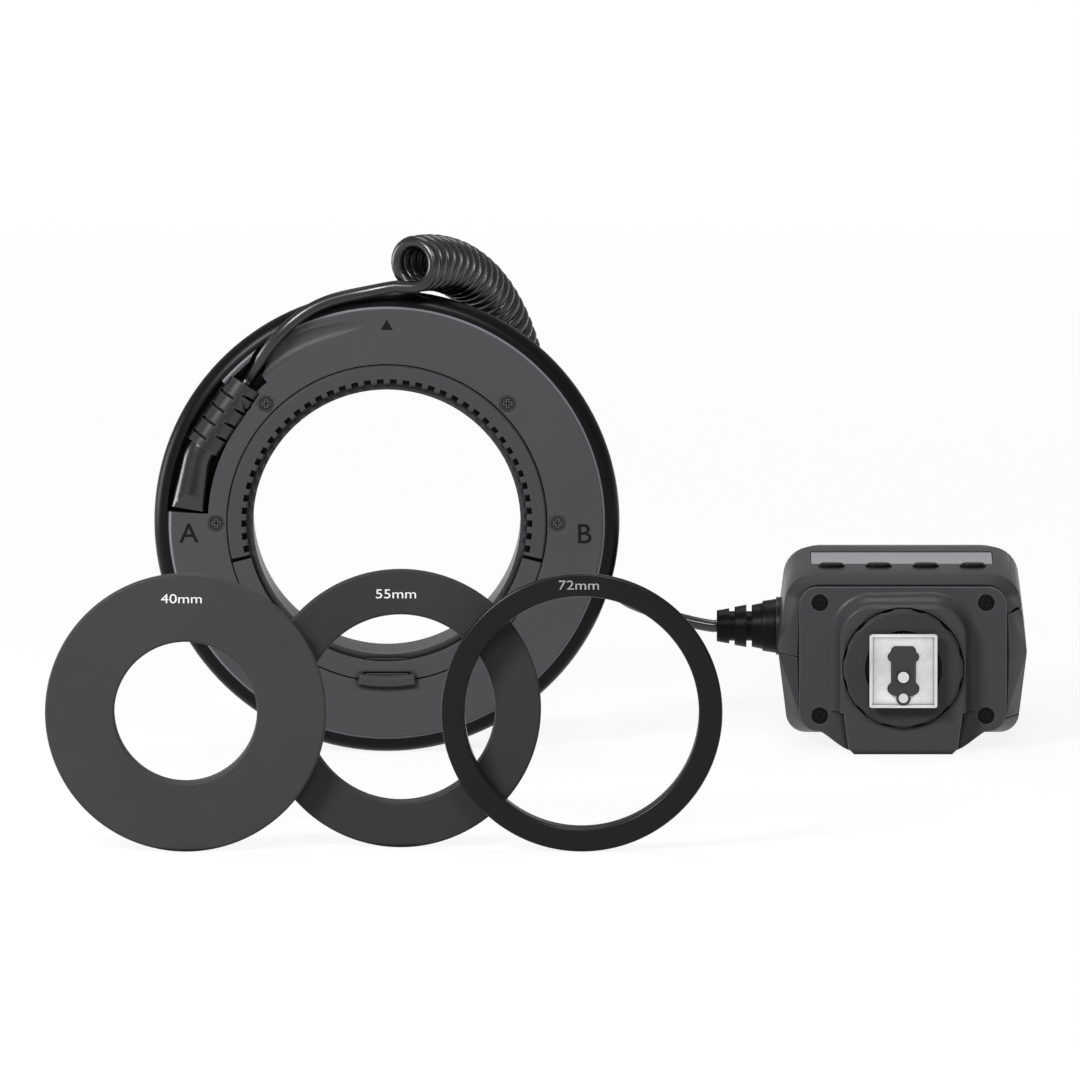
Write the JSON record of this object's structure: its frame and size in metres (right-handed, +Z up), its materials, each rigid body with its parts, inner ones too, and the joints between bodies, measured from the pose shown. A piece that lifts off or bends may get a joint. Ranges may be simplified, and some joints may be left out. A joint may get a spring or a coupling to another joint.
{
  "type": "macro ring flash",
  "caption": "Ring-shaped macro flash head with a toothed lens clip, a curly cord to a battery control unit with a locking hot shoe foot, and loose lens adapter rings.",
  "frame": {"origin": "on the lens axis, at the face inside the clip that an adapter seats on", "axes": "+X to the right seen from the lens side, +Y along the lens axis towards the subject, +Z up; the set stands at Z = -64 mm"},
  "size_m": [0.2678, 0.275, 0.1443],
  "materials": {
    "casing_black": "satin",
    "plate_grey": "fine matt grain",
    "clip_grey": "satin",
    "diffuser_white": "frosted",
    "reflector_metal": "polished",
    "tube_glass": "clear",
    "insulator_white": "matt",
    "board_green": "satin",
    "screw_black": "blackened",
    "boot_rubber": "satin",
    "cord_rubber": "satin",
    "unit_grey": "fine matt grain",
    "display_grey": "gloss",
    "button_black": "satin",
    "shoe_metal": "brushed",
    "contact_metal": "polished",
    "insulator_black": "satin",
    "cell_metal": "satin sleeve",
    "capacitor_sleeve": "shrunk sleeve",
    "adapter_grey": "anodised",
    "adapter_black": "anodised"
  },
  "bodies": {
    "set": {"ring_casing": "casing_black", "back_plate": "plate_grey", "lens_clip": "clip_grey", "seat_cover": "plate_grey", "diffuser_a": "diffuser_white", "diffuser_b": "diffuser_white", "reflector_a": "reflector_metal", "reflector_b": "reflector_metal", "flash_tube_a": "tube_glass", "flash_tube_b": "tube_glass", "tube_holders": "insulator_white", "focus_lamps": "diffuser_white", "ring_circuit_board": "board_green", "ring_screws": "screw_black", "cable_boot": "boot_rubber", "ring_strain_relief": "boot_rubber", "cord_lead_ring": "cord_rubber", "cord_coil": "cord_rubber", "cord_lead_control": "cord_rubber", "control_strain_relief": "boot_rubber", "panel_shell": "unit_grey", "lower_shell": "unit_grey", "base_cover": "unit_grey", "base_screws": "screw_black", "display_window": "display_grey", "display_module": "display_grey", "button_pad": "insulator_white", "main_circuit_board": "board_green", "door_hinge_pin": "shoe_metal", "battery_tray": "insulator_black", "batteries": "cell_metal", "battery_contacts": "contact_metal", "flash_capacitor": "capacitor_sleeve", "shoe_foot": "shoe_metal", "shoe_insulator": "insulator_black", "shoe_contact": "contact_metal", "adapter_small": "adapter_grey", "adapter_medium": "adapter_grey", "adapter_large": "adapter_black"},
    "tab": {"release_tab": "plate_grey"},
    "door": {"battery_door": "unit_grey"},
    "key_1": {"button_1": "button_black"},
    "key_2": {"button_2": "button_black"},
    "key_3": {"button_3": "button_black"},
    "key_4": {"button_4": "button_black"},
    "wheel": {"lock_wheel": "button_black"},
    "pin": {"lock_pin": "contact_metal"}
  },
  "joints": [
    {"name": "release_slide", "type": "slide", "parent": "set", "child": "tab", "axis": [0, 0, -1], "range_m": [0, 0.0015], "stiffness_N_per_m": 600, "springref_m": -0.001},
    {"name": "door_hinge", "type": "hinge", "parent": "set", "child": "door", "pos_m": [0.17334, 0.0338, -0.02762], "axis": [0, -1, 0], "range_deg": [0, 90]},
    {"name": "key_1_press", "type": "slide", "parent": "set", "child": "key_1", "axis": [0, 0, -1], "range_m": [0, 0.0008], "stiffness_N_per_m": 400, "springref_m": -0.0006},
    {"name": "key_2_press", "type": "slide", "parent": "set", "child": "key_2", "axis": [0, 0, -1], "range_m": [0, 0.0008], "stiffness_N_per_m": 400, "springref_m": -0.0006},
    {"name": "key_3_press", "type": "slide", "parent": "set", "child": "key_3", "axis": [0, 0, -1], "range_m": [0, 0.0008], "stiffness_N_per_m": 400, "springref_m": -0.0006},
    {"name": "key_4_press", "type": "slide", "parent": "set", "child": "key_4", "axis": [0, 0, -1], "range_m": [0, 0.0008], "stiffness_N_per_m": 400, "springref_m": -0.0006},
    {"name": "wheel_turn", "type": "hinge", "parent": "set", "child": "wheel", "pos_m": [0.142, 0, -0.04], "axis": [0, -1, 0], "range_deg": [0, 90]},
    {"name": "pin_slide", "type": "slide", "parent": "set", "child": "pin", "axis": [0, -1, 0], "range_m": [0, 0.0015]}
  ],
  "couplings": [
    {"joint": "pin_slide", "follows": "wheel_turn", "m_per_rad": 0.00095}
  ]
}
